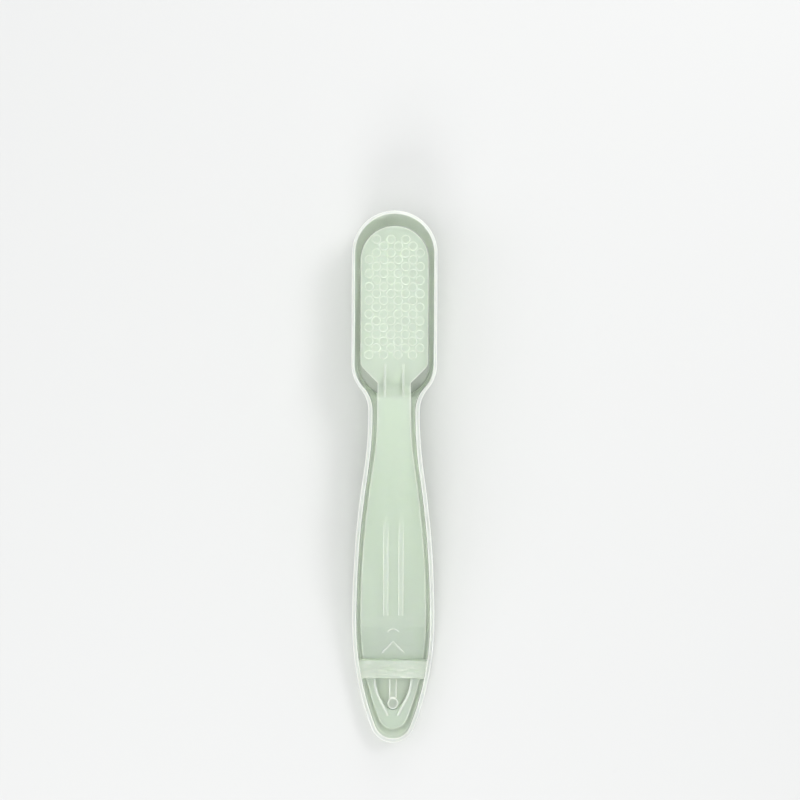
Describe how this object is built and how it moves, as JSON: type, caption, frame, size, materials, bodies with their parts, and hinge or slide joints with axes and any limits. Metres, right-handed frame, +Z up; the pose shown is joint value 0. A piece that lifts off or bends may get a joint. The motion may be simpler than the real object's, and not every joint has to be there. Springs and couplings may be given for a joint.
{
  "type": "sushi rice mould press",
  "caption": "Spoon-shaped mould for a block of sushi rice, with a springy lever in its channel handle whose plate pushes the block out.",
  "frame": {"origin": "on the table, under the middle of the press", "axes": "+Y from the tail of the handle to the tip of the mould, +Z up out of the open channel"},
  "size_m": [0.0266, 0.1686, 0.02],
  "materials": {
    "mould_plastic": "natural polypropylene, milky and translucent, smooth with a soft gloss",
    "pusher_plastic": "natural polypropylene, milky and translucent, with low round bumps on the plate"
  },
  "bodies": {
    "body": {"mould_body": "mould_plastic", "pusher_tail": "pusher_plastic", "hinge_leaf": "pusher_plastic"},
    "lever": {"press_lever": "pusher_plastic", "ejector_plate": "pusher_plastic"}
  },
  "joints": [
    {"name": "press_hinge", "type": "hinge", "parent": "body", "child": "lever", "pos_m": [0, -0.05073, 0.00271], "axis": [-1, 0, 0], "range_deg": [0, 6.2], "stiffness_Nm_per_rad": 0.5, "springref_deg": -1.15, "deforming": ["hinge_leaf"]}
  ]
}
